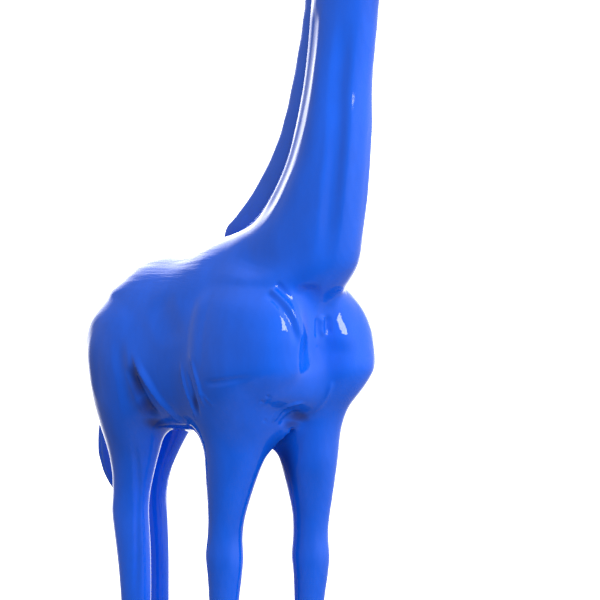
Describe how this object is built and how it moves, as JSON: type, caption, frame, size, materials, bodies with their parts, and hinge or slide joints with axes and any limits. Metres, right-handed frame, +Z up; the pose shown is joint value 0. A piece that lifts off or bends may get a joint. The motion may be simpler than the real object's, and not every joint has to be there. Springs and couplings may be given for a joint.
{
  "type": "standing giraffe statue",
  "caption": "Free-standing giraffe figure with a long raised neck, maned crest, stepped legs and hanging tail, in smooth glossy lacquer.",
  "frame": {"origin": "middle of the statue's footprint, at floor level", "axes": "+Z up, the giraffe faces -Y and its left side is at +X"},
  "size_m": [0.4483, 1.3974, 2.4118],
  "materials": {
    "blue_lacquer": "high-gloss blue lacquer over glass-fibre reinforced resin",
    "eye_lacquer": "high-gloss blue lacquer over cast resin",
    "frame_steel": "primed mild steel tube and bar, welded",
    "anchor_steel": "bright steel",
    "bare_laminate": "unpainted glass-fibre laminate",
    "rib_plywood": "birch plywood"
  },
  "bodies": {
    "root": {"ear_left": "blue_lacquer", "ear_right": "blue_lacquer", "eye_left": "eye_lacquer", "eye_right": "eye_lacquer", "head_pins_left": "anchor_steel", "head_pins_right": "anchor_steel", "head_rib": "rib_plywood", "head_seam_strip": "bare_laminate", "head_shell_left": "blue_lacquer", "head_shell_right": "blue_lacquer", "hip_crossbar": "frame_steel", "hoof_anchor_front_left": "anchor_steel", "hoof_anchor_front_right": "anchor_steel", "hoof_anchor_hind_left": "anchor_steel", "hoof_anchor_hind_right": "anchor_steel", "hoof_front_left": "blue_lacquer", "hoof_front_right": "blue_lacquer", "hoof_hind_left": "blue_lacquer", "hoof_hind_right": "blue_lacquer", "leg_front_left_inner": "blue_lacquer", "leg_front_left_outer": "blue_lacquer", "leg_front_right_inner": "blue_lacquer", "leg_front_right_outer": "blue_lacquer", "leg_hind_left_inner": "blue_lacquer", "leg_hind_left_outer": "blue_lacquer", "leg_hind_right_inner": "blue_lacquer", "leg_hind_right_outer": "blue_lacquer", "leg_plug_front_left": "bare_laminate", "leg_plug_front_right": "bare_laminate", "leg_plug_hind_left": "bare_laminate", "leg_plug_hind_right": "bare_laminate", "leg_rod_front_left": "frame_steel", "leg_rod_front_right": "frame_steel", "leg_rod_hind_left": "frame_steel", "leg_rod_hind_right": "frame_steel", "leg_sleeve_front_left": "bare_laminate", "leg_sleeve_front_right": "bare_laminate", "leg_sleeve_hind_left": "bare_laminate", "leg_sleeve_hind_right": "bare_laminate", "mane": "blue_lacquer", "neck_rib_lower": "rib_plywood", "neck_rib_upper": "rib_plywood", "neck_seam_strip": "bare_laminate", "neck_shell_left": "blue_lacquer", "neck_shell_right": "blue_lacquer", "neck_tube": "frame_steel", "ossicone_left": "blue_lacquer", "ossicone_right": "blue_lacquer", "shoulder_crossbar": "frame_steel", "spine_tube": "frame_steel", "tail_pin": "anchor_steel", "tail_stem": "blue_lacquer", "tail_tuft": "blue_lacquer", "torso_rib_front": "rib_plywood", "torso_rib_rear": "rib_plywood", "torso_seam_strip": "bare_laminate", "torso_shell_left": "blue_lacquer", "torso_shell_right": "blue_lacquer"}
  },
  "joints": []
}
